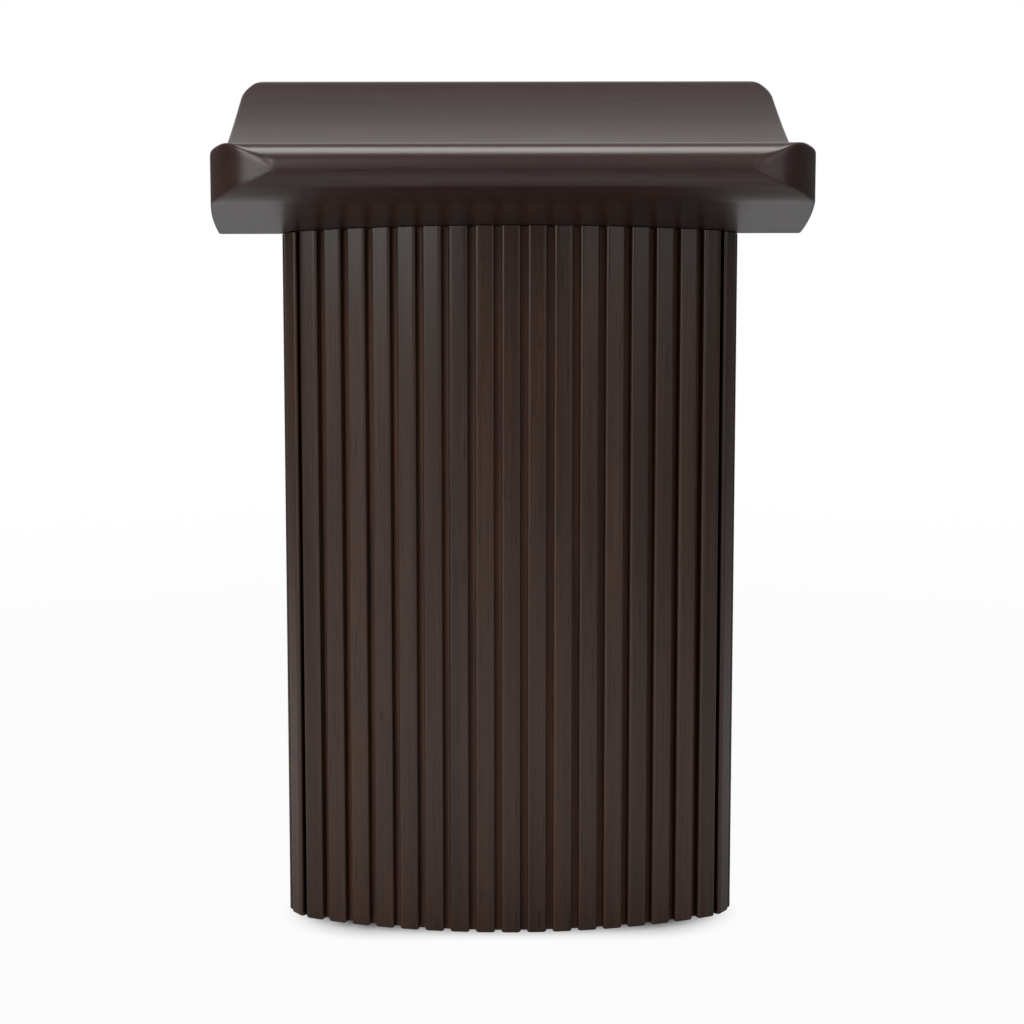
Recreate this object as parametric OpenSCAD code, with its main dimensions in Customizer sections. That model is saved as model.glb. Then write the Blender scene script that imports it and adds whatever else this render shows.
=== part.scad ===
// Saddle-top stool in the form of an African headrest.
// A carved saddle seat stands on an oval column that is clad all round with
// separate upright slats. The origin is on the floor, under the middle of the
// column; X runs along the raised ends of the seat, Y from one end to the other.

/* [Overall] */
// Height of the raised seat ends above the floor
stool_h = 457; // [440:1:480]
// Greatest width of the seat, at the middle of its sides
seat_w = 320; // [305:1:335]
// Length of the seat, from one raised end to the other
seat_l = 350; // [330:1:370]

/* [Seat] */
// Radius of the rounded nose along each raised end
nose_r = 12; // [10:0.5:13]
// Depth of the hollow in the middle, below the raised ends
saddle_dip = 30; // [24:1:34]
// Thickness of the seat along its keel
keel_t = 38.5; // [37:0.5:44]
// Slope of the underside on each side of the keel, in degrees
keel_slope = 13.6; // [12:0.2:14.4]
// Distance from the keel to the crease where the underside turns up to the nose
bilge_y = 156; // [148:1:158]
// Radius of the seat's four corners, in plan
corner_r = 36; // [24:1:40]
// Radius of the seat's two long sides, which bow out a little, in plan
bow_r = 2000; // [1600:100:4000]

/* [Column] */
// Width of the column over the slats, along X
col_w = 250; // [236:1:260]
// Depth of the column over the slats, along Y
col_d = 100; // [92:1:106]
// Radius of the column's tight ends, over the slats
end_r = 26; // [23:1:30]
// Height of the slat ends above the floor
slat_lift = 3; // [2:0.5:5]

/* [Slats] */
// Number of slats round the column
slat_count = 40; // [36:4:40]
// Width of a slat across its face
slat_w = 11.4; // [10:0.1:12]
// Width of a slat where it is glued to the shell
slat_root_w = 9.8; // [9:0.1:10.4]
// Thickness of a slat
slat_t = 6; // [5:0.5:7]
// Radius of the slat's two front edges
slat_edge_r = 1.8; // [1:0.1:2.5]

/* [Core] */
// Thickness of the bent shell behind the slats
shell_t = 4; // [3:0.5:5]
// Thickness of the top, middle and bottom formers
former_t = 18; // [15:1:21]
// Section of a core post along X
post_w = 24; // [20:1:26]
// Section of a core post along Y
post_d = 40; // [32:1:42]
// Distance of each post from the middle
post_x = 70; // [69:1:71]
// Distance of each tie rod from the middle
rod_x = 36; // [34:1:38]
// Diameter of the tie rods
rod_d = 8; // [6:1:10]

/* [Base] */
// Thickness of the steel ballast plate
ballast_t = 8; // [5:1:12]
// Diameter of a floor glide
glide_d = 16; // [12:1:17]
// Thickness of a floor glide
glide_t = 5; // [4:0.5:6]

/* [Hidden] */
$fn = 96;
// Clearance between the seat's underside and what stands below it
seat_gap = 0.5;
// Clearance round a piece that is housed in another
fit_gap = 0.3;
// Overrun of a cut past the face that it opens
over = 1;
// Share of its radius by which an arc crosses the faces that it blends
cross = 0.002;

// Seat side view, in the plane of Y and Z
nose_y = seat_l / 2 - nose_r;
nose_z = stool_h - nose_r;
nose_c = [nose_y, nose_z];
hollow_z = stool_h - saddle_dip;
keel_z = hollow_z - keel_t;
bilge = [bilge_y, keel_z + bilge_y * tan(keel_slope)];
// The hollow is one arc that touches both noses from outside
hollow_rise = nose_z - hollow_z;
hollow_r = (nose_y ^ 2 + hollow_rise ^ 2 - nose_r ^ 2) / (2 * (nose_r + hollow_rise));
nose_touch = atan2(hollow_z + hollow_r - nose_z, nose_y);

// Seat plan: two long side arcs and four corner arcs, which end this far past the
// noses, so that they cross them cleanly
corner_over = 0.4;
corner_y = seat_l / 2 + corner_over - corner_r;
corner_x = seat_w / 2 - bow_r + sqrt((bow_r - corner_r) ^ 2 - corner_y ^ 2);
bow_touch = corner_y * bow_r / (bow_r - corner_r);

// Column plan: two flat side arcs and two tight end arcs
col_a = col_w / 2;
col_b = col_d / 2;
end_x = col_a - end_r;
side_r = (end_x ^ 2 + col_b ^ 2 - end_r ^ 2) / (2 * (col_b - end_r));
side_half = atan2(end_x, side_r - col_b);
side_len = side_r * side_half * PI / 180;
end_len = end_r * (90 - side_half) * PI / 180;
perimeter = 4 * (side_len + end_len);
slat_pitch = perimeter / slat_count;

// Levels of the core. The top former is let into the seat by housing_h, and the
// slats and shells are cut to the seat's underside from blanks blank_h longer.
housing_h = 12;
blank_h = 12;
base_z = glide_t;
base_top = base_z + former_t;
plate_top = keel_z + housing_h;
plate_z = plate_top - former_t;
post_l = plate_z - base_top;
mid_z = (base_top + plate_z - former_t) / 2;
core_inset = slat_t + shell_t;
slat_l = plate_top + blank_h - slat_lift;

// Fastenings
insert_d = 12;
insert_l = 14;
nut_h = 6.5;
nut_af = 13;
washer_d = 20;
washer_t = 1.6;
pocket_d = 26;
pocket_l = 11;
rod_hole_d = rod_d + 1;
rod_z = base_z + 1;
rod_top = plate_top + insert_l - 2;
nut_z = base_z + pocket_l - washer_t - nut_h;
washer_z = base_z + pocket_l - washer_t;
dowel_d = 10;
dowel_l = 24;
dowel_x = 54;
dowel_z = plate_top - dowel_l / 2;
screw_d = 4.5;
screw_l = 45;
screw_head_d = 9;
screw_head_t = 3.5;
screw_y = 9;
ballast_w = 110;
ballast_d = 50;
ballast_top = base_top + ballast_t;
ballast_screw_at = [47, 16];
ballast_screw_l = 22;
glide_at = [[52, 19], [96, 0]];

// Outward direction from a circle's centre to where a line from p touches its
// lower side
function touch_from(p, c, r) =
    let (d = c - p, t = atan2(d.y, d.x) - asin(r / norm(d)))
    [sin(t), -cos(t)];

function mirror_y(points) =
    [for (i = [len(points) - 1:-1:0]) [-points[i].x, points[i].y]];

// Place on the column's outline, s along it from the middle of the front
function quarter(s) = floor(s / (perimeter / 4));
function on_quarter(s) =
    s <= side_len
    ? let (t = s / side_r * 180 / PI)
      [side_r * sin(t), side_r - col_b - side_r * cos(t), t]
    : let (t = side_half + (s - side_len) / end_r * 180 / PI)
      [end_x + end_r * sin(t), -end_r * cos(t), t];
function on_outline(s) =
    let (
        q = quarter(s),
        part = perimeter / 4,
        local = s - q * part,
        p = on_quarter(q % 2 == 0 ? local : part - local)
    )
    q == 0 ? p
    : q == 1 ? [p.x, -p.y, 180 - p.z]
    : q == 2 ? [-p.x, -p.y, 180 + p.z]
    : [-p.x, p.y, 360 - p.z];

function slat_name(i) = str("slat_", i < 9 ? "0" : "", i + 1);

SLATS = [for (i = [0:slat_count - 1]) slat_name(i)];
CORE = [
    "seat", "top_former", "middle_former", "base_former", "front_shell", "back_shell",
    "left_post", "right_post", "left_tie_rod", "right_tie_rod", "rod_nuts",
    "rod_washers", "seat_inserts", "seat_dowels", "post_screws", "ballast_plate",
    "ballast_screws", "glides"
];

// ---- seat ----

// Body of the seat seen from the side, before the hollow is cut
module seat_blank_2d() {
    flank = touch_from(bilge, nose_c, nose_r) * nose_r * (1 - cross);
    inner = [-cos(nose_touch), sin(nose_touch)] * (nose_r + over);
    half = [bilge, nose_c + flank, nose_c, nose_c + inner];
    polygon(concat([[0, keel_z]], half, mirror_y(half)));
    for (side = [-1, 1]) translate([side * nose_y, nose_z]) circle(nose_r);
}

module seat_side_2d() {
    difference() {
        seat_blank_2d();
        translate([0, hollow_z + hollow_r]) circle(hollow_r + cross * nose_r, $fn = 360);
    }
}

module seat_plan_2d() {
    intersection() {
        translate([seat_w / 2 - bow_r, 0]) circle(bow_r, $fn = 720);
        translate([bow_r - seat_w / 2, 0]) circle(bow_r, $fn = 720);
        square([seat_w + 2 * over, 2 * bow_touch], center = true);
    }
    square([2 * corner_x, 2 * (corner_y + corner_r)], center = true);
    for (sx = [-1, 1], sy = [-1, 1]) translate([sx * corner_x, sy * corner_y])
        circle(corner_r * (1 + cross));
}

module across_seat() {
    rotate([90, 0, 90]) linear_extrude(seat_w + 2 * over, center = true) children();
}

module seat() {
    color("#3a2e2a") difference() {
        intersection() {
            across_seat() seat_side_2d();
            translate([0, 0, keel_z - over]) linear_extrude(stool_h) seat_plan_2d();
        }
        translate([0, 0, keel_z - over])
            linear_extrude(housing_h + over) outline_2d(core_inset - fit_gap);
        for (side = [-1, 1]) translate([side * rod_x, 0, plate_top - over])
            cylinder(d = insert_d, h = insert_l + 2 * over);
        for (side = [-1, 1]) translate([side * dowel_x, 0, plate_top - over])
            cylinder(d = dowel_d, h = dowel_l / 2 + over);
    }
}

// Space at and above the seat's underside, with the fitting gap
module seat_space() {
    translate([0, 0, -seat_gap]) across_seat() seat_blank_2d();
}

// ---- column ----

// The column's oval, set in from the face of the slats: a lens between the two
// side arcs, cut off where it meets the end arcs
module outline_2d(inset) {
    r = side_r - inset;
    e = end_r - inset;
    intersection() {
        translate([0, side_r - col_b]) circle(r, $fn = 360);
        translate([0, col_b - side_r]) circle(r, $fn = 360);
        square([2 * (end_x + e * sin(side_half)), col_d], center = true);
    }
    for (side = [-1, 1]) translate([side * end_x, 0]) circle(e * (1 + cross));
}

// Section of a slat: its face is on Y = 0 and its root is inwards, at +Y
module slat_2d() {
    lean = atan2((slat_w - slat_root_w) / 2, slat_t);
    c = [slat_w / 2 - slat_edge_r / tan((90 - lean) / 2), slat_edge_r];
    side_n = [cos(lean), sin(lean)];
    half = [[c.x, 0], c + slat_edge_r * side_n, [slat_root_w / 2, slat_t]];
    polygon(concat(half, mirror_y(half)));
    for (side = [-1, 1]) translate([side * c.x, c.y])
        circle(slat_edge_r * (1 + cross), $fn = 48);
}

module slat(i) {
    p = on_outline(i * slat_pitch);
    color("#43362f") difference() {
        translate([p.x, p.y, slat_lift]) rotate([0, 0, p.z])
            linear_extrude(slat_l) slat_2d();
        seat_space();
    }
}

// Half of the bent shell that the slats are glued to
module half_shell(side) {
    color("#5a2f1f") difference() {
        translate([0, 0, slat_lift]) linear_extrude(slat_l) intersection() {
            difference() {
                outline_2d(slat_t);
                outline_2d(core_inset);
            }
            translate([-col_a, side < 0 ? -col_b : 0]) square([col_w, col_b]);
        }
        seat_space();
    }
}

module former(z) {
    translate([0, 0, z]) linear_extrude(former_t) outline_2d(core_inset);
}

module rod_holes(z, h) {
    for (side = [-1, 1]) translate([side * rod_x, 0, z - over])
        cylinder(d = rod_hole_d, h = h + 2 * over);
}

// Places of the screws that go into the ends of the posts
module at_post_screws() {
    for (side = [-1, 1], y = [-screw_y, screw_y]) translate([side * post_x, y, 0]) children();
}

// A screw whose head lies flush at z, with its point up or down as dir says
module screw(z, dir, length) {
    translate([0, 0, z]) mirror([0, 0, dir < 0 ? 1 : 0]) {
        cylinder(d = screw_d, h = length);
        cylinder(d = screw_head_d, h = screw_head_t);
    }
}

module top_former() {
    color("#8a6a4a") difference() {
        former(plate_z);
        rod_holes(plate_z, former_t);
        for (side = [-1, 1]) translate([side * dowel_x, 0, dowel_z])
            cylinder(d = dowel_d, h = dowel_l);
        at_post_screws() screw(plate_top, -1, screw_l);
    }
}

module middle_former() {
    color("#8a6a4a") difference() {
        former(mid_z);
        rod_holes(mid_z, former_t);
        for (side = [-1, 1]) translate([side * post_x, 0, mid_z + former_t / 2])
            cube([post_w + fit_gap, post_d + fit_gap, former_t + 2 * over], center = true);
    }
}

module base_former() {
    color("#8a6a4a") difference() {
        former(base_z);
        rod_holes(base_z, former_t);
        for (side = [-1, 1]) translate([side * rod_x, 0, base_z - over])
            cylinder(d = pocket_d, h = pocket_l + over);
        at_post_screws() screw(base_z, 1, screw_l);
        at_ballast_screws() screw(ballast_top, -1, ballast_screw_l);
    }
}

module post(side) {
    color("#a98558") difference() {
        translate([side * post_x, 0, base_top + post_l / 2])
            cube([post_w, post_d, post_l], center = true);
        at_post_screws() screw(plate_top, -1, screw_l);
        at_post_screws() screw(base_z, 1, screw_l);
    }
}

// ---- fastenings ----

module tie_rod(side) {
    color("#b9bcc0") translate([side * rod_x, 0, rod_z]) cylinder(d = rod_d, h = rod_top - rod_z);
}

module rod_nuts() {
    color("#c9ccd0") for (side = [-1, 1]) translate([side * rod_x, 0, nut_z]) difference() {
        cylinder(d = nut_af / cos(30), h = nut_h, $fn = 6);
        translate([0, 0, -over]) cylinder(d = rod_d, h = nut_h + 2 * over);
    }
}

module rod_washers() {
    color("#c9ccd0") for (side = [-1, 1]) translate([side * rod_x, 0, washer_z]) difference() {
        cylinder(d = washer_d, h = washer_t);
        translate([0, 0, -over]) cylinder(d = rod_d + fit_gap, h = washer_t + 2 * over);
    }
}

module seat_inserts() {
    color("#c8a24a") for (side = [-1, 1]) translate([side * rod_x, 0, plate_top]) difference() {
        cylinder(d = insert_d, h = insert_l);
        translate([0, 0, -over]) cylinder(d = rod_d, h = insert_l + 2 * over);
    }
}

module seat_dowels() {
    color("#c9a878") for (side = [-1, 1])
        translate([side * dowel_x, 0, dowel_z]) cylinder(d = dowel_d, h = dowel_l - seat_gap);
}

module post_screws() {
    color("#b9bcc0") at_post_screws() {
        screw(plate_top, -1, screw_l);
        screw(base_z, 1, screw_l);
    }
}

// ---- base ----

module at_ballast_screws() {
    for (side = [-1, 1], y = [-1, 1])
        translate([side * ballast_screw_at.x, y * ballast_screw_at.y, 0]) children();
}

module ballast_plate() {
    color("#55585c") difference() {
        translate([0, 0, base_top + ballast_t / 2])
            cube([ballast_w, ballast_d, ballast_t], center = true);
        rod_holes(base_top, ballast_t);
        at_ballast_screws() screw(ballast_top, -1, ballast_screw_l);
    }
}

module ballast_screws() {
    color("#b9bcc0") at_ballast_screws() screw(ballast_top, -1, ballast_screw_l);
}

module glide() {
    cylinder(d = glide_d, h = glide_t);
}

module glides() {
    color("#2b2b2b") for (side = [-1, 1]) {
        for (y = [-1, 1]) translate([side * glide_at[0].x, y * glide_at[0].y, 0]) glide();
        translate([side * glide_at[1].x, 0, 0]) glide();
    }
}

seat();
top_former();
middle_former();
base_former();
half_shell(-1);  // front_shell
half_shell(1);  // back_shell
post(-1);  // left_post
post(1);  // right_post
tie_rod(-1);  // left_tie_rod
tie_rod(1);  // right_tie_rod
rod_nuts();
rod_washers();
seat_inserts();
seat_dowels();
post_screws();
ballast_plate();
ballast_screws();
glides();
for (i = [0:slat_count - 1]) slat(i);
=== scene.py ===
"""Looks of the saddle-topped headrest stool: a stained wooden seat on an oval column of upright slats.

Everything is in metres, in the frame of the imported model: the origin is on the floor under the middle of
the column, X runs along the raised ends of the seat, and Y from one end to the other.
"""

import math
import random

import bmesh
import bpy
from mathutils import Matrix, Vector


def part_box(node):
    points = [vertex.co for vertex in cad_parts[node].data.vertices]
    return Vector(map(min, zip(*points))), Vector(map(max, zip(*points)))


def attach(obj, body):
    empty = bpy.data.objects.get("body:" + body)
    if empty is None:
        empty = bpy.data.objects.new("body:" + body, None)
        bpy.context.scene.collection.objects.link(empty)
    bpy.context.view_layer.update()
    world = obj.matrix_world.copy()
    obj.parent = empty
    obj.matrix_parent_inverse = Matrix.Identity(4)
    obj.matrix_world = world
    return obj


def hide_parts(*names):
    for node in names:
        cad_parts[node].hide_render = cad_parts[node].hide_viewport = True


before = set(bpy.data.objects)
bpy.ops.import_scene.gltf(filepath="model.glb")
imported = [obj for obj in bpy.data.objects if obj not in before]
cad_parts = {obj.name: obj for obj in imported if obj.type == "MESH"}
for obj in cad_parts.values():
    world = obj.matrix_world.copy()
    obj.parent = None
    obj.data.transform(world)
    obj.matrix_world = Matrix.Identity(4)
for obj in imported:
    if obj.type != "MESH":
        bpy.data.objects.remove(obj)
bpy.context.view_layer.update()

# ---- sizes, from the frame and from the design ----

SEAT_LO, SEAT_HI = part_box("seat")
SEAT_HALF_W = SEAT_HI.x
SEAT_HALF_L = SEAT_HI.y
SEAT_TOP = SEAT_HI.z
KEEL_Z = SEAT_LO.z

# The seat: rounded noses on its raised ends, a hollow top, a shallow V below with a soft keel in the
# middle, and a bilge at each end, where the V turns up to the nose.
NOSE_R = 0.012
NOSE_Y = SEAT_HALF_L - NOSE_R
NOSE_Z = SEAT_TOP - NOSE_R
SADDLE_DIP = 0.030
CORNER_R = 0.036
BOW_R = 2.0
BILGE_Y = 0.156
KEEL_SLOPE = math.tan(math.radians(13.6))
KEEL_SOFT = 0.005
BILGE_SOFT = 0.009
SEAT_ARRIS = 0.0016

# The column: an oval of half width COL_A and half depth COL_B, made of two flat arcs and two round ends,
# with slats that narrow towards their roots.
SLAT_COUNT = sum(name.startswith("slat_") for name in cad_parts)
SLAT_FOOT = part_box("slat_01")[0].z
SLAT_HEAD_GAP = 0.0005
COL_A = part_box("slat_11")[1].x
COL_B = -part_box("slat_01")[0].y
END_R = 0.026
SLAT_W = 0.0114
SLAT_ROOT_W = 0.0098
SLAT_T = 0.006
SLAT_EDGE_R = 0.0018
SLAT_FOOT_R = 0.0014


# ---- small helpers ----

def lerp(start, stop, share):
    """Value at a share of the way from start to stop."""
    return start + (stop - start) * share


def skin(bm, rings):
    """Faces between each closed ring of points and the next."""
    for near, far in zip(rings, rings[1:]):
        for i in range(len(near)):
            j = (i + 1) % len(near)
            bm.faces.new((near[i], near[j], far[j], far[i]))


def new_object(name, bm):
    """The mesh as a smooth object in the scene."""
    mesh = bpy.data.meshes.new(name)
    bm.to_mesh(mesh)
    bm.free()
    piece = bpy.data.objects.new(name, mesh)
    bpy.context.scene.collection.objects.link(piece)
    for face in mesh.polygons:
        face.use_smooth = True
    return piece


def compass(angle):
    """Unit direction in plan, turned by the angle from +X towards +Y."""
    return Vector((math.cos(angle), math.sin(angle)))


def bezier(start, pull, stop, share):
    """Point at a share of the way along the curve from start to stop, with a pull towards a third point."""
    return start * (1 - share) ** 2 + pull * 2 * share * (1 - share) + stop * share ** 2


# ---- seat profile, in the plane of Y and Z ----

HOLLOW_Z = SEAT_TOP - SADDLE_DIP
HOLLOW_RISE = NOSE_Z - HOLLOW_Z
HOLLOW_R = (NOSE_Y ** 2 + HOLLOW_RISE ** 2 - NOSE_R ** 2) / (2 * (NOSE_R + HOLLOW_RISE))
TOUCH_Y = NOSE_Y - NOSE_R * NOSE_Y / (HOLLOW_R + NOSE_R)

BILGE_Z = KEEL_Z + BILGE_Y * KEEL_SLOPE
NOSE_DIST = math.hypot(NOSE_Y - BILGE_Y, NOSE_Z - BILGE_Z)
FLANK = math.atan2(NOSE_Z - BILGE_Z, NOSE_Y - BILGE_Y) - math.asin(NOSE_R / NOSE_DIST)
FLANK_Y = NOSE_Y + NOSE_R * math.sin(FLANK)


def seat_top(y):
    """Height of the saddle's upper surface."""
    y = abs(y)
    if y < TOUCH_Y:
        return HOLLOW_Z + HOLLOW_R - math.sqrt(HOLLOW_R ** 2 - y ** 2)
    return NOSE_Z + math.sqrt(max(0.0, NOSE_R ** 2 - (y - NOSE_Y) ** 2))


def soft_bend(y, at, half, slope_in, slope_out):
    """Height over the first slope's line, where the slope turns over a length of 2 * half."""
    if y < at - half:
        return 0.0
    if y > at + half:
        return (slope_out - slope_in) * (y - at)
    return (slope_out - slope_in) * (y - at + half) ** 2 / (4 * half)


def seat_under(y):
    """Height of the saddle's underside."""
    y = abs(y)
    if y > FLANK_Y:
        return NOSE_Z - math.sqrt(max(0.0, NOSE_R ** 2 - (y - NOSE_Y) ** 2))
    if y < KEEL_SOFT:
        return KEEL_Z + KEEL_SLOPE * (y ** 2 + KEEL_SOFT ** 2) / (2 * KEEL_SOFT)
    bend = soft_bend(y, BILGE_Y, BILGE_SOFT, KEEL_SLOPE, math.tan(FLANK))
    return KEEL_Z + KEEL_SLOPE * y + bend


def seat_stations():
    """Places along one side of the seat, from one end to the other: (point in plan, outward direction)."""
    bow = Vector((SEAT_HALF_W - BOW_R, 0))
    reach = BOW_R - CORNER_R
    corner_y = SEAT_HALF_L - CORNER_R
    corner = Vector((bow.x + math.sqrt(reach ** 2 - corner_y ** 2), corner_y))
    meet = math.asin(corner_y / reach)
    corner_steps, side_steps = 36, 96
    first = []
    for i in range(corner_steps):
        outward = compass(lerp(math.pi / 2, meet, i / corner_steps))
        first.append((corner + outward * CORNER_R, outward))
    side = []
    for i in range(side_steps + 1):
        outward = compass(lerp(meet, -meet, i / side_steps))
        side.append((bow + outward * BOW_R, outward))
    flip = Vector((1, -1))
    last = [(point * flip, outward * flip) for point, outward in reversed(first)]
    return first + side + last


def seat_rim(point, outward):
    """Points down the seat's side: from the upper surface, over the soft arris, to the underside."""
    top, under = seat_top(point.y), seat_under(point.y)
    arris = min(SEAT_ARRIS, 0.3 * (top - under))
    inner = point - outward * arris
    arris_steps, wall_steps = 5, 6
    rim = []
    for surface, side in ((seat_top, -1), (seat_under, 1)):
        edge_z = surface(point.y)
        start = Vector((inner.x, inner.y, surface(inner.y)))
        middle = Vector((point.x, point.y, edge_z))
        stop = Vector((point.x, point.y, edge_z + side * arris))
        rim.append([bezier(start, middle, stop, i / arris_steps) for i in range(arris_steps + 1)])
    upper, lower = rim[0], rim[1][::-1]
    wall = [upper[-1].lerp(lower[0], i / wall_steps) for i in range(1, wall_steps)]
    return upper + wall + lower


def row_shares():
    """Places across a row of the seat's faces: close together next to the arris, then even."""
    near = [0.0, 0.004, 0.012, 0.028]
    even_steps = 36
    even = [lerp(0.05, 0.95, i / even_steps) for i in range(even_steps + 1)]
    return near + even + [1 - share for share in reversed(near)]


def across(bm, start, stop, surface):
    """Points between two points of a row, at the height of the surface."""
    return [
        bm.verts.new((lerp(start.x, stop.x, share), start.y, surface(start.y)))
        for share in row_shares()[1:-1]
    ]


def make_seat():
    """Rings of points round the seat, one at each station, from one end to the other."""
    bm = bmesh.new()
    rings = []
    for point, outward in seat_stations():
        right = seat_rim(point, outward)
        left = [Vector((-p.x, p.y, p.z)) for p in right]
        ring = [bm.verts.new(p) for p in right]
        ring += across(bm, right[-1], left[-1], seat_under)
        ring += [bm.verts.new(p) for p in reversed(left)]
        ring += across(bm, left[0], right[0], seat_top)
        rings.append(ring)
    skin(bm, rings)
    bmesh.ops.remove_doubles(bm, verts=bm.verts, dist=1e-6)
    bmesh.ops.recalc_face_normals(bm, faces=bm.faces)
    return new_object("saddle_seat", bm)


# ---- slats ----

END_X = COL_A - END_R
SIDE_R = (END_X ** 2 + COL_B ** 2 - END_R ** 2) / (2 * (COL_B - END_R))
SIDE_HALF = math.atan2(END_X, SIDE_R - COL_B)
SIDE_LEN = SIDE_R * SIDE_HALF
END_LEN = END_R * (math.pi / 2 - SIDE_HALF)
QUARTER = SIDE_LEN + END_LEN


def on_quarter(length):
    """X, Y and turn at a length along the first quarter of the outline, from the middle of the front."""
    if length <= SIDE_LEN:
        turn = length / SIDE_R
        return SIDE_R * math.sin(turn), SIDE_R - COL_B - SIDE_R * math.cos(turn), turn
    turn = SIDE_HALF + (length - SIDE_LEN) / END_R
    return END_X + END_R * math.sin(turn), -END_R * math.cos(turn), turn


def on_outline(length):
    """X, Y and turn at a length along the whole outline, from the middle of the front."""
    quarter = int(length / QUARTER + 1e-9)
    local = length - quarter * QUARTER
    x, y, turn = on_quarter(local if quarter % 2 == 0 else QUARTER - local)
    return [
        (x, y, turn),
        (x, -y, math.pi - turn),
        (-x, -y, math.pi + turn),
        (-x, y, 2 * math.pi - turn),
    ][quarter]


def slat_section():
    """Outline of a slat, face at Y = 0 and root at +Y: (point, outward direction, 1 on a front arris)."""
    lean = math.atan2((SLAT_W - SLAT_ROOT_W) / 2, SLAT_T)
    centre = Vector((SLAT_W / 2 - SLAT_EDGE_R / math.tan((math.pi / 2 - lean) / 2), SLAT_EDGE_R))
    face_steps, arc_steps, side_steps = 4, 6, 4
    half = []
    for i in range(face_steps):
        half.append((Vector((centre.x * i / face_steps, 0)), Vector((0, -1)), 0.0))
    for i in range(arc_steps + 1):
        outward = compass(lerp(-math.pi / 2, lean, i / arc_steps))
        half.append((centre + outward * SLAT_EDGE_R, outward, math.sin(math.pi * i / arc_steps)))
    start = half[-1][0]
    root = Vector((SLAT_ROOT_W / 2, SLAT_T))
    for i in range(1, side_steps + 1):
        half.append((start.lerp(root, i / side_steps), compass(lean), 0.0))
    flip = Vector((-1, 1))
    return half + [(point * flip, outward * flip, worn) for point, outward, worn in reversed(half[1:])]


def foot_levels():
    """(Inset, height) up the rounding at a slat's foot."""
    steps = 4
    angles = [math.pi / 2 * i / steps for i in range(steps + 1)]
    return [
        (SLAT_FOOT_R * (1 - math.sin(angle)), SLAT_FOOT + SLAT_FOOT_R * (1 - math.cos(angle)))
        for angle in angles
    ]


def make_slat(index):
    """A slat with a rounded foot, cut off along the seat's underside.

    Two values are stored with its points for its material: "arris" is 1 where an edge wears, and "depth"
    goes from 0 at the face to 1 at the root, and sets the painted shade down the slat's sides.
    """
    x, y, turn = on_outline(index * 4 * QUARTER / SLAT_COUNT)
    cos, sin = math.cos(turn), math.sin(turn)
    section = slat_section()
    bm = bmesh.new()
    arris = bm.verts.layers.float.new("arris")
    depth = bm.verts.layers.float.new("depth")

    def add_ring(inset, height, share):
        """Points round the section, at a share of the way from the height to the underside of the seat."""
        ring = []
        for point, outward, worn in section:
            local = point - outward * inset
            place = Vector((x + local.x * cos - local.y * sin, y + local.x * sin + local.y * cos))
            head = seat_under(place.y) - SLAT_HEAD_GAP
            vert = bm.verts.new((place.x, place.y, lerp(height, head, share)))
            vert[arris] = max(worn, inset / SLAT_FOOT_R)
            # How far back towards the root the point lies, for the painted shade on the slat's sides.
            vert[depth] = point.y / SLAT_T
            ring.append(vert)
        return ring

    levels = foot_levels()
    shaft_steps = 40
    rings = [add_ring(inset, height, 0.0) for inset, height in levels]
    rings += [add_ring(0.0, levels[-1][1], k / shaft_steps) for k in range(1, shaft_steps + 1)]
    skin(bm, rings)
    for cap in (rings[0][::-1], rings[-1]):
        for edge in bm.faces.new(cap).edges:
            edge.smooth = False
    bmesh.ops.recalc_face_normals(bm, faces=bm.faces)
    piece = new_object(f"slat_piece_{index + 1:02d}", bm)
    for face in piece.data.polygons:
        if len(face.vertices) > 4:
            face.use_smooth = False
    return piece


# ---- materials ----

ALONG_X = 0
ALONG_Z = 2

SEAT_DARK = (0.018, 0.0076, 0.0062)
SEAT_LIGHT = (0.030, 0.0134, 0.0108)
SEAT_ROUGH = (0.25, 0.33)
SLAT_DARK = (0.017, 0.0070, 0.0040)
SLAT_LIGHT = (0.040, 0.0170, 0.0092)
SLAT_ROUGH = (0.20, 0.27)
SLAT_EDGE = (0.046, 0.022, 0.015)
# Painted shade for the slats' sides, deepest at their roots in the grooves.
SLAT_SIDE_SHADE = (0.004, 0.0014, 0.0009)
PORE_SHADE = (0.35, 0.33, 0.32)
WHITE = (1, 1, 1)
TONE_COUNT = 6


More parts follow.
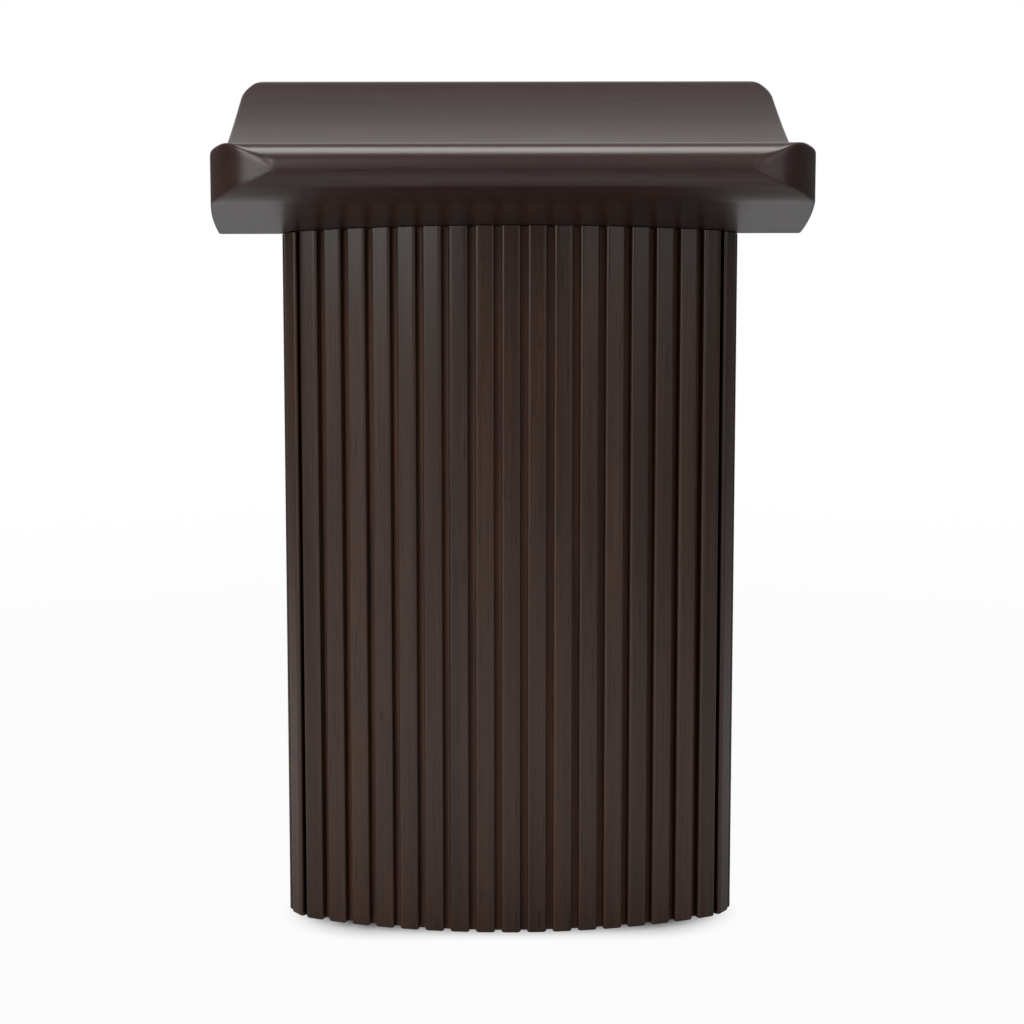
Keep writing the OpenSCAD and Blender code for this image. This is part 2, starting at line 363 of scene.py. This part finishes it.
class Nodes:
    """A short way to write a node tree."""

    def __init__(self, tree):
        self.tree = tree

    def add(self, kind, inputs=None, **settings):
        node = self.tree.nodes.new(kind)
        for key, value in settings.items():
            setattr(node, key, value)
        for key, value in (inputs or {}).items():
            self.put(node.inputs[key], value)
        return node

    def put(self, socket, value):
        if isinstance(value, bpy.types.NodeSocket):
            self.tree.links.new(value, socket)
        else:
            socket.default_value = value

    def place(self, scale, offset=(0, 0, 0)):
        """Place on the object, times a scale."""
        coords = self.add("ShaderNodeTexCoord").outputs["Object"]
        mapping = self.add("ShaderNodeMapping", {"Vector": coords, "Scale": scale, "Location": offset})
        return mapping.outputs["Vector"]

    def noise(self, vector, detail, roughness=0.55, distortion=0.0):
        node = self.add("ShaderNodeTexNoise", {
            "Vector": vector, "Scale": 1.0, "Detail": detail,
            "Roughness": roughness, "Distortion": distortion,
        })
        return node.outputs["Fac"]

    def ramp(self, value, start, full, low, high):
        """The low colour up to start and the high colour from full on."""
        node = self.add("ShaderNodeValToRGB", {"Fac": value})
        for element, position, colour in zip(node.color_ramp.elements, (start, full), (low, high)):
            element.position = position
            element.color = (*colour, 1)
        return node.outputs["Color"]

    def mix(self, share, base, other, blend="MIX"):
        """The base colour with a share of another."""
        node = self.add("ShaderNodeMix", data_type="RGBA", blend_type=blend)
        for socket, value in zip((node.inputs[0], node.inputs[6], node.inputs[7]), (share, base, other)):
            self.put(socket, (*value, 1) if isinstance(value, tuple) else value)
        return node.outputs[2]

    def math(self, operation, *values):
        node = self.add("ShaderNodeMath", operation=operation)
        for socket, value in zip(node.inputs, values):
            self.put(socket, value)
        return node.outputs[0]

    def range(self, value, low, high):
        """A value from 0 to 1, made to run from low to high."""
        node = self.add("ShaderNodeMapRange", {"Value": value, "To Min": low, "To Max": high})
        return node.outputs[0]

    def smooth(self, value, start, full, low=0.0, high=1.0):
        """The low value up to start and the high value from full on, with a soft change between."""
        inputs = {"Value": value, "From Min": start, "From Max": full, "To Min": low, "To Max": high}
        return self.add("ShaderNodeMapRange", inputs, interpolation_type="SMOOTHSTEP").outputs[0]

    def bump(self, height, strength, distance):
        node = self.add("ShaderNodeBump", {"Height": height, "Strength": strength, "Distance": distance})
        return node.outputs["Normal"]

    def vector(self, operation, *values):
        return self.add("ShaderNodeVectorMath", dict(enumerate(values)), operation=operation)

    def attribute(self, name):
        return self.add("ShaderNodeAttribute", attribute_name=name).outputs["Fac"]


class Surface(Nodes):
    """A material with one main shader."""

    def __init__(self, name):
        self.material = bpy.data.materials.new(name)
        self.material.use_nodes = True
        super().__init__(self.material.node_tree)
        self.shader = self.tree.nodes["Principled BSDF"]

    def set(self, **values):
        for key, value in values.items():
            self.put(self.shader.inputs[key.replace("_", " ")], value)


def along(axis, fine, long):
    """Scale of a pattern that is fine across an axis and long along it."""
    return tuple(long if i == axis else fine for i in range(3))


def stained_wood(name, axis, dark, light, rough, shift=0.0, tint=1.0, edge=None):
    """Espresso stain under satin lacquer: broad clouds, fine fibres and short pores along the axis.

    An edge colour makes it slat wood: worn to that colour on its arrises, painted shade down its sides.
    """
    m = Surface(name)
    offset = (shift, shift * 0.7, shift * 1.3)
    cloud = m.noise(m.place(along(axis, fine=14, long=3), offset), 3.0)
    fibre = m.noise(m.place(along(axis, fine=420, long=7), offset), 5.0, roughness=0.6, distortion=0.3)
    streak = m.noise(m.place(along(axis, fine=95, long=1.6), offset), 3.0, roughness=0.5, distortion=0.2)
    pore = m.noise(m.place(along(axis, fine=900, long=45), offset), 2.0, roughness=0.5)
    gloss = m.noise(m.place(along(axis, fine=60, long=12), offset), 3.0)
    tone = m.math("MULTIPLY", cloud, 0.25)
    tone = m.math("MULTIPLY_ADD", streak, 0.35, tone)
    tone = m.math("MULTIPLY_ADD", fibre, 0.4, tone)
    dark, light = (tuple(c * tint for c in colour) for colour in (dark, light))
    colour = m.ramp(tone, 0.38, 0.62, dark, light)
    colour = m.mix(1.0, colour, m.ramp(pore, 0.30, 0.40, PORE_SHADE, WHITE), "MULTIPLY")
    if edge:
        worn = m.math("MULTIPLY", m.attribute("arris"), m.range(streak, 0.2, 0.9))
        colour = m.mix(worn, colour, edge)
        # Painted shade: the sides darken towards the root, where the grooves between slats lie in shadow.
        colour = m.mix(m.smooth(m.attribute("depth"), 0.05, 0.45), colour, SLAT_SIDE_SHADE)
    height = m.math("MULTIPLY_ADD", pore, 0.5, m.math("MULTIPLY", fibre, 0.5))
    m.set(Base_Color=colour, Roughness=m.range(gloss, *rough))
    m.set(Normal=m.bump(height, strength=0.12, distance=0.0004))
    m.set(IOR=1.5, Specular_IOR_Level=0.5)
    return m.material


def plywood(name):
    """Layers across Z with a pale face, for the formers."""
    m = Surface(name)
    layer = m.add("ShaderNodeTexWave", {
        "Vector": m.place((1, 1, 1)), "Scale": 110.0, "Distortion": 0.6, "Detail": 1.0,
    }, wave_type="BANDS", bands_direction="Z")
    fibre = m.noise(m.place(along(ALONG_X, fine=240, long=9)), 5.0)
    layers = m.ramp(layer.outputs["Fac"], 0.3, 0.7, (0.26, 0.15, 0.075), (0.55, 0.37, 0.21))
    grain = m.ramp(fibre, 0.3, 0.7, (0.25, 0.14, 0.07), (0.6, 0.42, 0.25))
    m.set(Base_Color=m.mix(0.35, layers, grain), Roughness=m.range(fibre, 0.55, 0.75))
    m.set(Normal=m.bump(fibre, strength=0.2, distance=0.0004))
    return m.material


def pale_wood(name):
    """Plain beech with short darker flecks, grain upright."""
    m = Surface(name)
    fibre = m.noise(m.place(along(ALONG_Z, fine=260, long=7)), 5.0, roughness=0.6, distortion=0.4)
    fleck = m.noise(m.place(along(ALONG_Z, fine=700, long=90)), 2.0)
    grain = m.ramp(fibre, 0.3, 0.7, (0.42, 0.26, 0.14), (0.66, 0.47, 0.29))
    m.set(Base_Color=m.mix(m.range(fleck, 0.0, 0.4), grain, (0.33, 0.18, 0.09)))
    m.set(Roughness=m.range(fibre, 0.5, 0.65), Normal=m.bump(fibre, strength=0.15, distance=0.0003))
    return m.material


def shell_wood(name):
    """Red-brown stained backing, seen in the grooves."""
    m = Surface(name)
    fibre = m.noise(m.place(along(ALONG_Z, fine=380, long=6)), 5.0, roughness=0.6, distortion=0.3)
    patch = m.noise(m.place(along(ALONG_Z, fine=30, long=9)), 3.0)
    tone = m.math("MULTIPLY_ADD", fibre, 0.6, m.math("MULTIPLY", patch, 0.4))
    m.set(Base_Color=m.ramp(tone, 0.32, 0.68, (0.026, 0.008, 0.003), (0.125, 0.040, 0.016)))
    m.set(Roughness=m.range(fibre, 0.5, 0.7), Normal=m.bump(fibre, strength=0.2, distance=0.0004))
    return m.material


def metal(name, colour, spread, rough, scale):
    """Bare metal with specks that are darker by the spread."""
    m = Surface(name)
    speck = m.noise(m.place((scale, scale, scale * 0.15)), 4.0)
    dark = tuple(c * (1 - spread) for c in colour)
    m.set(Base_Color=m.ramp(speck, 0.3, 0.7, dark, colour), Metallic=1.0)
    m.set(Roughness=m.range(speck, *rough), Normal=m.bump(speck, strength=0.08, distance=0.0002))
    return m.material


def painted_steel(name):
    """Black paint with a fine peel, a little dusty."""
    m = Surface(name)
    peel = m.noise(m.place((900, 900, 900)), 2.0)
    dust = m.noise(m.place((30, 30, 30)), 4.0)
    m.set(Base_Color=m.ramp(dust, 0.3, 0.7, (0.02, 0.021, 0.022), (0.045, 0.046, 0.048)))
    m.set(Roughness=m.range(dust, 0.45, 0.65), Normal=m.bump(peel, strength=0.15, distance=0.0002))
    return m.material


def rubber(name):
    """Black rubber with a fine grit."""
    m = Surface(name)
    grit = m.noise(m.place((1500, 1500, 1500)), 3.0)
    m.set(Base_Color=m.ramp(grit, 0.3, 0.7, (0.012, 0.012, 0.012), (0.035, 0.034, 0.033)))
    m.set(Roughness=m.range(grit, 0.7, 0.9), Normal=m.bump(grit, strength=0.3, distance=0.0002))
    return m.material


def dress(material, *names):
    """Give the material to CAD nodes that stay as they are."""
    for name in names:
        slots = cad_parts[name].data.materials
        slots.clear()
        slots.append(material)


# ---- stage, light and camera ----

FLOOR_HALF = 40
FLOOR_FAR_START = 0.55
FLOOR_FAR_END = 1.3
FLOOR_DARK = (0.44, 0.44, 0.44)
FLOOR_LIGHT = (0.46, 0.46, 0.46)
FLOOR_FAR = (0.25, 0.25, 0.25)
FLOOR_WHITE = (0.97, 0.97, 0.97)
# Distances from the line between the middles of the column's two round ends.
SHADOW_START = COL_B - 0.035
SHADOW_END = COL_B + 0.008


def make_floor():
    """Grey paper under the object. The camera sees plain white, apart from the shadow at the column."""
    bm = bmesh.new()
    bmesh.ops.create_grid(bm, x_segments=8, y_segments=8, size=FLOOR_HALF)
    floor = new_object("floor", bm)
    m = Surface("floor_paper")
    place = m.place((1, 1, 1))
    grain = m.noise(m.place((3, 3, 3)), 2.0)
    near = m.ramp(grain, 0.3, 0.7, FLOOR_DARK, FLOOR_LIGHT)
    far = m.smooth(m.vector("LENGTH", place).outputs["Value"], FLOOR_FAR_START, FLOOR_FAR_END)
    m.set(Base_Color=m.mix(far, near, FLOOR_FAR), Roughness=0.9, Specular_IOR_Level=0.1)
    spread = m.vector("ABSOLUTE", place).outputs[0]
    past_end = m.vector("SUBTRACT", spread, (COL_A - COL_B, 0, 0)).outputs[0]
    past_end = m.vector("MAXIMUM", past_end, (0, 0, 0)).outputs[0]
    beside = m.vector("LENGTH", past_end).outputs["Value"]
    clear = m.smooth(beside, SHADOW_START, SHADOW_END)
    seen = m.math("MULTIPLY", m.add("ShaderNodeLightPath").outputs["Is Camera Ray"], clear)
    white = m.add("ShaderNodeEmission", {"Color": m.mix(far, FLOOR_WHITE, WHITE)})
    blend = m.add("ShaderNodeMixShader", {0: seen, 1: m.shader.outputs[0], 2: white.outputs[0]})
    m.put(m.tree.nodes["Material Output"].inputs["Surface"], blend.outputs[0])
    floor.data.materials.append(m.material)


def softbox(name, place, aim, size, radiance):
    """A soft rectangular light of an even brightness, in units of the white of the background."""
    data = bpy.data.lights.new(name, "AREA")
    data.shape = "RECTANGLE"
    data.size, data.size_y = size
    data.energy = radiance * math.pi * size[0] * size[1]
    lamp = bpy.data.objects.new(name, data)
    lamp.location = place
    lamp.rotation_euler = (Vector(aim) - Vector(place)).to_track_quat("-Z", "Y").to_euler()
    bpy.context.scene.collection.objects.link(lamp)


BACKDROP_LIGHT = 0.8
BACKDROP_TOP_SHARE = 0.12
BASE_LIGHT = 0.15
FRONT_LIGHT = 0.36
LIGHT_TINT = (0.8, 0.8, 0.8)


def make_world():
    """White to the camera. As a light it is a bright backdrop behind the object, which fades upwards."""
    world = bpy.data.worlds.new("studio")
    world.use_nodes = True
    world.node_tree.nodes.clear()
    w = Nodes(world.node_tree)
    towards = w.add("ShaderNodeSeparateXYZ", {0: w.add("ShaderNodeTexCoord").outputs["Generated"]})
    backdrop = w.smooth(towards.outputs["Y"], 0.1, 0.7, low=0.0, high=BACKDROP_LIGHT)
    fade = w.smooth(towards.outputs["Z"], 0.3, 0.85, low=1.0, high=BACKDROP_TOP_SHARE)
    front = w.smooth(towards.outputs["Y"], -0.1, -0.7, low=BASE_LIGHT, high=FRONT_LIGHT)
    light = w.math("ADD", w.math("MULTIPLY", backdrop, fade), front)
    lit = w.add("ShaderNodeBackground", {"Color": (*LIGHT_TINT, 1), "Strength": light})
    white = w.add("ShaderNodeBackground", {"Color": (*WHITE, 1)})
    seen = w.add("ShaderNodeLightPath").outputs["Is Camera Ray"]
    blend = w.add("ShaderNodeMixShader", {0: seen, 1: lit.outputs[0], 2: white.outputs[0]})
    w.add("ShaderNodeOutputWorld", {"Surface": blend.outputs[0]})
    bpy.context.scene.world = world


LENS_MM = 137.0
SENSOR_MM = 36
CAMERA_PLACE = Vector((-0.025, -2.13, 0.674))
CAMERA_AIM = Vector((0.0011, 0.0, 0.2325))


def make_camera():
    """The photograph's view, with a plain camera that tilts down a little."""
    data = bpy.data.cameras.new("camera")
    data.lens = LENS_MM
    data.sensor_width = SENSOR_MM
    camera = bpy.data.objects.new("camera", data)
    camera.location = CAMERA_PLACE
    camera.rotation_euler = (CAMERA_AIM - CAMERA_PLACE).to_track_quat("-Z", "Y").to_euler()
    bpy.context.scene.collection.objects.link(camera)
    bpy.context.scene.camera = camera


# ---- build ----

random.seed(7)

seat = make_seat()
seat.data.materials.append(stained_wood("seat_wood", ALONG_X, SEAT_DARK, SEAT_LIGHT, SEAT_ROUGH))
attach(seat, "root")
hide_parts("seat")

tones = [
    stained_wood(
        f"slat_wood_{k}", ALONG_Z, SLAT_DARK, SLAT_LIGHT, SLAT_ROUGH,
        shift=3.1 * k, tint=random.uniform(0.86, 1.14), edge=SLAT_EDGE,
    )
    for k in range(TONE_COUNT)
]
for index in range(SLAT_COUNT):
    slat = make_slat(index)
    slat.data.materials.append(tones[random.randrange(len(tones))])
    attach(slat, "root")
    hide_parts(f"slat_{index + 1:02d}")

zinc = metal("zinc_steel", (0.62, 0.63, 0.65), spread=0.25, rough=(0.28, 0.45), scale=220)
brass = metal("insert_brass", (0.72, 0.50, 0.20), spread=0.3, rough=(0.25, 0.4), scale=300)
dress(shell_wood("groove_backing"), "front_shell", "back_shell")
dress(plywood("plywood"), "top_former", "middle_former", "base_former")
dress(pale_wood("beech_post"), "left_post", "right_post")
dress(pale_wood("beech_dowel"), "seat_dowels")
dress(zinc, "left_tie_rod", "right_tie_rod", "rod_nuts", "rod_washers", "post_screws", "ballast_screws")
dress(brass, "seat_inserts")
dress(painted_steel("ballast_paint"), "ballast_plate")
dress(rubber("glide_rubber"), "glides")

make_floor()
make_world()
softbox("overhead", place=(0.0, -0.04, 2.3), aim=(0, 0, 0.4), size=(1.5, 1.18), radiance=7.2)
softbox("front_left", place=(-1.02, -1.32, 0.92), aim=(0, 0, 0.45), size=(1.5, 1.46), radiance=4.4)
softbox("front_right", place=(1.02, -1.32, 0.8), aim=(0, 0, 0.45), size=(1.4, 1.4), radiance=1.0)
make_camera()
bpy.context.scene.view_settings.view_transform = "Standard"
